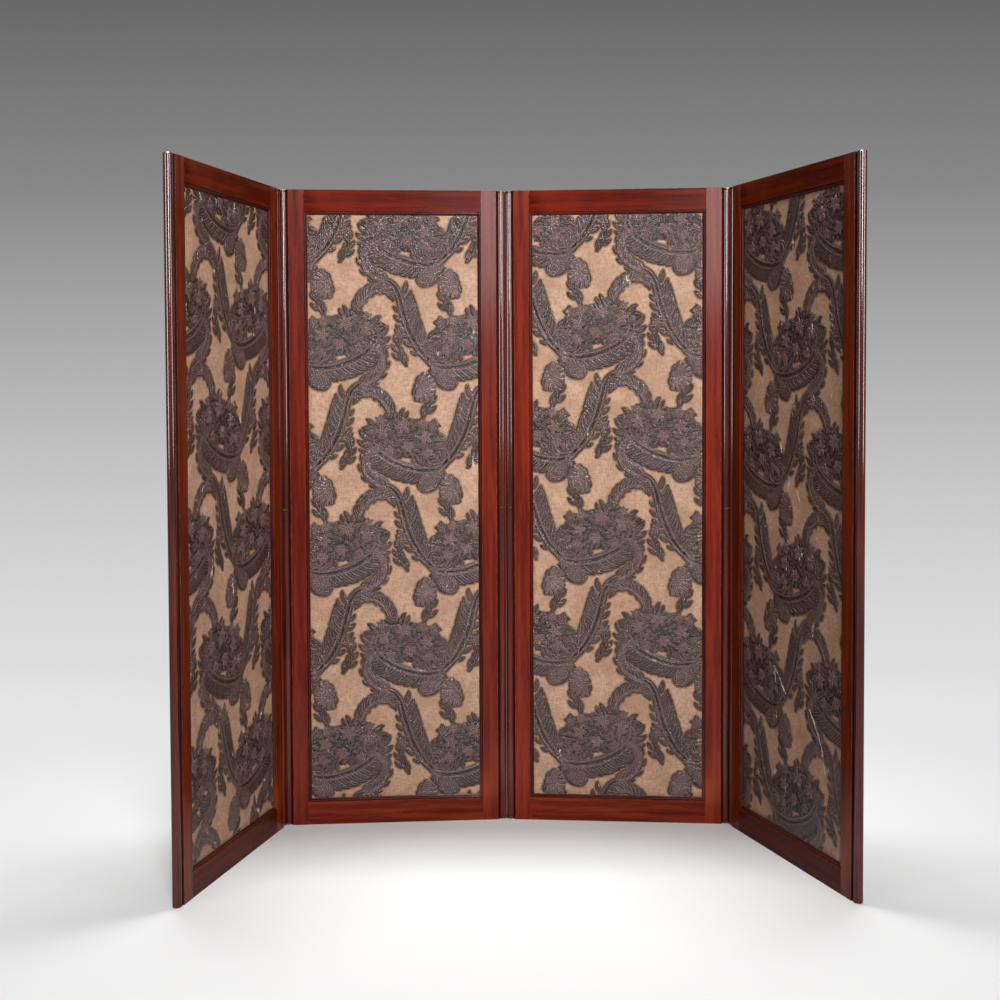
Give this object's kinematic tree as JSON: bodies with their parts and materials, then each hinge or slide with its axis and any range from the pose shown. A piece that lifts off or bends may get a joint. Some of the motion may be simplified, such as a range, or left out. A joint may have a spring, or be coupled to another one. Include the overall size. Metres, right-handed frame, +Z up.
{
  "type": "folding screen",
  "caption": "Tall free-standing folding screen: polished mahogany frames with embossed paper panels, round beaded edges and brass link hinges that fold both ways.",
  "frame": {"origin": "on the floor, at the centre of the standing screen's box", "axes": "+Z up; +X to the right as seen from the embossed side, which faces -Y"},
  "size_m": [1.595, 0.6518, 1.727],
  "materials": {
    "mahogany_bead": "polished",
    "backing_board": "bare",
    "mahogany_stile_1": "polished",
    "mahogany_rail_1": "polished",
    "mahogany_slip_1": "polished",
    "mahogany_stile_2": "polished",
    "mahogany_rail_2": "polished",
    "mahogany_slip_2": "polished",
    "mahogany_stile_3": "polished",
    "mahogany_rail_3": "polished",
    "mahogany_slip_3": "polished",
    "mahogany_stile_4": "polished",
    "mahogany_rail_4": "polished",
    "mahogany_slip_4": "polished",
    "embossed_paper": "embossed",
    "back_lining": "plain weave",
    "brass_link": "aged",
    "brass_pivot": "aged"
  },
  "bodies": {
    "leaf_1": {"leaf_1_left_stile": "mahogany_stile_1", "leaf_1_right_stile": "mahogany_stile_1", "leaf_1_top_rail": "mahogany_rail_1", "leaf_1_bottom_rail": "mahogany_rail_1", "leaf_1_left_bead": "mahogany_bead", "leaf_1_right_bead": "mahogany_bead", "leaf_1_backing_board": "backing_board", "leaf_1_embossed_paper": "embossed_paper", "leaf_1_back_lining": "back_lining", "leaf_1_front_slips": "mahogany_slip_1", "leaf_1_back_slips": "mahogany_slip_1", "leaf_1_right_pivots": "brass_pivot"},
    "leaf_2": {"leaf_2_left_stile": "mahogany_stile_2", "leaf_2_right_stile": "mahogany_stile_2", "leaf_2_top_rail": "mahogany_rail_2", "leaf_2_bottom_rail": "mahogany_rail_2", "leaf_2_left_bead": "mahogany_bead", "leaf_2_right_bead": "mahogany_bead", "leaf_2_backing_board": "backing_board", "leaf_2_embossed_paper": "embossed_paper", "leaf_2_back_lining": "back_lining", "leaf_2_front_slips": "mahogany_slip_2", "leaf_2_back_slips": "mahogany_slip_2", "leaf_2_left_pivots": "brass_pivot", "leaf_2_right_pivots": "brass_pivot"},
    "leaf_3": {"leaf_3_left_stile": "mahogany_stile_3", "leaf_3_right_stile": "mahogany_stile_3", "leaf_3_top_rail": "mahogany_rail_3", "leaf_3_bottom_rail": "mahogany_rail_3", "leaf_3_left_bead": "mahogany_bead", "leaf_3_right_bead": "mahogany_bead", "leaf_3_backing_board": "backing_board", "leaf_3_embossed_paper": "embossed_paper", "leaf_3_back_lining": "back_lining", "leaf_3_front_slips": "mahogany_slip_3", "leaf_3_back_slips": "mahogany_slip_3", "leaf_3_left_pivots": "brass_pivot", "leaf_3_right_pivots": "brass_pivot"},
    "leaf_4": {"leaf_4_left_stile": "mahogany_stile_4", "leaf_4_right_stile": "mahogany_stile_4", "leaf_4_top_rail": "mahogany_rail_4", "leaf_4_bottom_rail": "mahogany_rail_4", "leaf_4_left_bead": "mahogany_bead", "leaf_4_right_bead": "mahogany_bead", "leaf_4_backing_board": "backing_board", "leaf_4_embossed_paper": "embossed_paper", "leaf_4_back_lining": "back_lining", "leaf_4_front_slips": "mahogany_slip_4", "leaf_4_back_slips": "mahogany_slip_4", "leaf_4_left_pivots": "brass_pivot"},
    "links_12": {"link_plates_12": "brass_link"},
    "links_23": {"link_plates_23": "brass_link"},
    "links_34": {"link_plates_34": "brass_link"}
  },
  "joints": [
    {"name": "fold_12_at_leaf_2", "type": "hinge", "parent": "leaf_2", "child": "links_12", "pos_m": [-0.62217, 0.26874, 0.8635], "axis": [0, 0, 1], "range_deg": [-125.5, 54.5]},
    {"name": "fold_12_at_leaf_1", "type": "hinge", "parent": "links_12", "child": "leaf_1", "pos_m": [-0.63925, 0.2544, 0.8635], "axis": [0, 0, 1], "range_deg": [-125.5, 54.5]},
    {"name": "fold_23_at_leaf_2", "type": "hinge", "parent": "leaf_2", "child": "links_23", "pos_m": [-0.03598, 0.31487, 0.8635], "axis": [0, 0, 1], "range_deg": [-85.5, 94.5]},
    {"name": "fold_23_at_leaf_3", "type": "hinge", "parent": "links_23", "child": "leaf_3", "pos_m": [-0.01368, 0.31487, 0.8635], "axis": [0, 0, 1], "range_deg": [-85.5, 94.5]},
    {"name": "fold_34_at_leaf_3", "type": "hinge", "parent": "leaf_3", "child": "links_34", "pos_m": [0.57251, 0.26874, 0.8635], "axis": [0, 0, -1], "range_deg": [-123, 57]},
    {"name": "fold_34_at_leaf_4", "type": "hinge", "parent": "links_34", "child": "leaf_4", "pos_m": [0.5902, 0.25516, 0.8635], "axis": [0, 0, -1], "range_deg": [-123, 57]}
  ]
}
